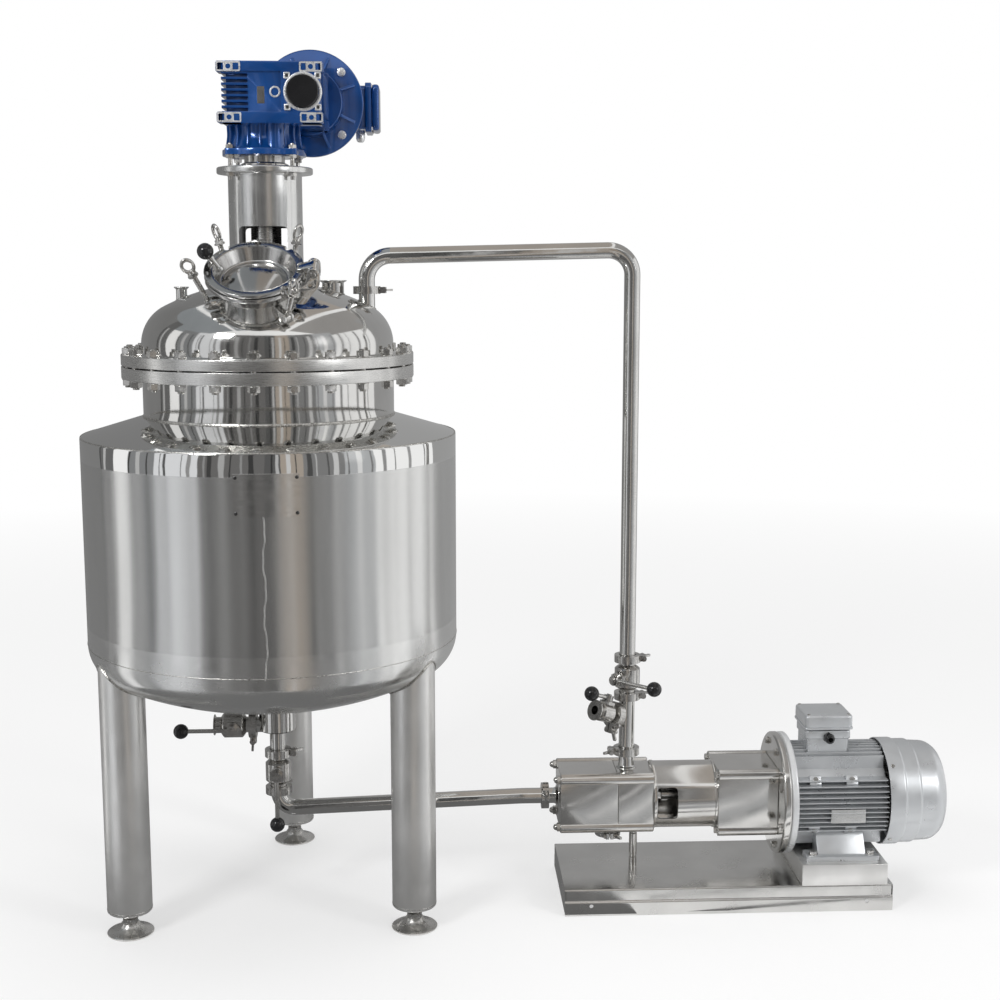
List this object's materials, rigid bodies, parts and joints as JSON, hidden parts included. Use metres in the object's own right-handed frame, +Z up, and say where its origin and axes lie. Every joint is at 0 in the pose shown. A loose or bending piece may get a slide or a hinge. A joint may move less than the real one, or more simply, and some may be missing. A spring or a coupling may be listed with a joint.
{
  "type": "jacketed mixing tank with recirculation pump",
  "caption": "Jacketed mixing vessel on legs with a domed lid, handhole, top agitator drive, bottom outlet, recirculation pump on a base and a return pipe.",
  "frame": {"origin": "centre of the whole object's box, on the floor", "axes": "+Z up, +X from the tank towards the pump's motor, -Y the front with the handhole and the valve stems"},
  "size_m": [2.085, 0.88, 2.059],
  "materials": {
    "mirror_steel": "mirror-polished stainless steel",
    "satin_steel": "satin stainless steel",
    "cast_steel": "cast and buffed stainless steel",
    "pipe_steel": "polished stainless tube",
    "plate_steel": "brushed stainless sheet",
    "bolt_steel": "turned stainless steel",
    "blue_paint": "glossy blue enamel on cast metal",
    "grey_paint": "satin silver-grey paint on cast aluminium",
    "cowl_paint": "satin silver-grey paint on pressed steel",
    "black_knob": "glossy black",
    "black_cap": "semi-gloss black",
    "gasket": "white silicone",
    "insulation": "mineral wool",
    "bronze": "cast bronze"
  },
  "bodies": {
    "frame": {"inner_vessel": "mirror_steel", "heating_jacket": "satin_steel", "insulation": "insulation", "outer_shell": "mirror_steel", "lid_gasket": "gasket", "lid": "mirror_steel", "lid_bolts": "bolt_steel", "legs": "satin_steel", "levelling_feet": "cast_steel", "handhole_neck": "mirror_steel", "handhole_gasket": "gasket", "charge_nozzle": "mirror_steel", "jacket_ports": "mirror_steel", "lantern": "mirror_steel", "shaft_seal": "satin_steel", "bearing_housing": "satin_steel", "gearbox_housing": "blue_paint", "worm_cap": "black_cap", "agitator_motor": "blue_paint", "agitator_terminal_box": "blue_paint", "agitator_fan_cowl": "blue_paint", "outlet_pipe": "mirror_steel", "bottom_valve_body": "cast_steel", "side_valve_body": "cast_steel", "line_valve_body": "cast_steel", "branch_valve_body": "cast_steel", "suction_pipe": "pipe_steel", "riser_pipe": "pipe_steel", "return_pipe": "pipe_steel", "pipe_clamps": "cast_steel", "pump_casing": "cast_steel", "bearing_frame": "mirror_steel", "coupling_shroud": "cast_steel", "motor_adapter": "mirror_steel", "pump_motor": "grey_paint", "pump_terminal_box": "grey_paint", "pump_fan_cowl": "cowl_paint", "pump_base": "plate_steel", "head_support": "bolt_steel"},
    "agitator": {"agitator_shaft": "satin_steel", "shaft_coupling": "satin_steel", "anchor_impeller": "satin_steel", "worm_wheel": "bronze"},
    "worm": {"worm_shaft": "satin_steel"},
    "pump_rotor": {"pump_shaft": "satin_steel", "pump_impeller": "satin_steel"},
    "handhole_lid": {"handhole_cover": "mirror_steel", "cover_knob": "black_knob"},
    "swing_back_right": {"swing_bolt_back_right": "bolt_steel"},
    "swing_back_left": {"swing_bolt_back_left": "bolt_steel"},
    "swing_left": {"swing_bolt_left": "bolt_steel"},
    "swing_front_right": {"swing_bolt_front_right": "bolt_steel"},
    "bottom_handle": {"bottom_valve_lever": "bolt_steel", "bottom_valve_knob": "black_knob"},
    "side_handle": {"side_valve_lever": "bolt_steel", "side_valve_knob": "black_knob"},
    "line_handle": {"line_valve_lever": "bolt_steel", "line_valve_knob": "black_knob"},
    "branch_handle": {"branch_valve_lever": "bolt_steel", "branch_valve_knob": "black_knob"}
  },
  "joints": [
    {"name": "agitator_turn", "type": "hinge", "parent": "frame", "child": "agitator", "pos_m": [-0.6025, 0, 1], "axis": [0, 0, 1], "continuous": true},
    {"name": "worm_turn", "type": "hinge", "parent": "frame", "child": "worm", "pos_m": [-0.5025, 0, 1.934], "axis": [0, 1, 0], "continuous": true},
    {"name": "pump_turn", "type": "hinge", "parent": "frame", "child": "pump_rotor", "pos_m": [0.4975, 0, 0.25], "axis": [1, 0, 0], "continuous": true},
    {"name": "handhole_hinge", "type": "hinge", "parent": "frame", "child": "handhole_lid", "pos_m": [-0.4745, -0.26218, 1.54336], "axis": [0, 0.8387, 0.5446], "range_deg": [0, 100]},
    {"name": "swing_back_right_hinge", "type": "hinge", "parent": "frame", "child": "swing_back_right", "pos_m": [-0.53565, -0.15506, 1.52468], "axis": [-0.766, 0.5391, 0.3501], "range_deg": [-20, 50]},
    {"name": "swing_back_left_hinge", "type": "hinge", "parent": "frame", "child": "swing_back_left", "pos_m": [-0.66935, -0.15506, 1.52468], "axis": [-0.766, -0.5391, -0.3501], "range_deg": [-20, 50]},
    {"name": "swing_left_hinge", "type": "hinge", "parent": "frame", "child": "swing_left", "pos_m": [-0.70423, -0.24001, 1.46952], "axis": [0.2079, -0.8203, -0.5327], "range_deg": [-20, 50]},
    {"name": "swing_front_right_hinge", "type": "hinge", "parent": "frame", "child": "swing_front_right", "pos_m": [-0.53291, -0.28669, 1.4392], "axis": [0.7431, 0.5612, 0.3644], "range_deg": [-20, 50]},
    {"name": "bottom_lever_turn", "type": "hinge", "parent": "frame", "child": "bottom_handle", "pos_m": [-0.6025, 0, 0.325], "axis": [0, -1, 0], "range_deg": [0, 90]},
    {"name": "side_lever_turn", "type": "hinge", "parent": "frame", "child": "side_handle", "pos_m": [-0.7085, 0, 0.443], "axis": [0, -1, 0], "range_deg": [0, 90]},
    {"name": "line_lever_turn", "type": "hinge", "parent": "frame", "child": "line_handle", "pos_m": [0.2565, 0, 0.552], "axis": [-0.7071, -0.7071, 0], "range_deg": [0, 90]},
    {"name": "branch_lever_turn", "type": "hinge", "parent": "frame", "child": "branch_handle", "pos_m": [0.19646, -0.04204, 0.47368], "axis": [0.2802, 0.1962, 0.9397], "range_deg": [0, 90]}
  ],
  "couplings": [
    {"joint": "worm_turn", "follows": "agitator_turn", "ratio": 20}
  ]
}
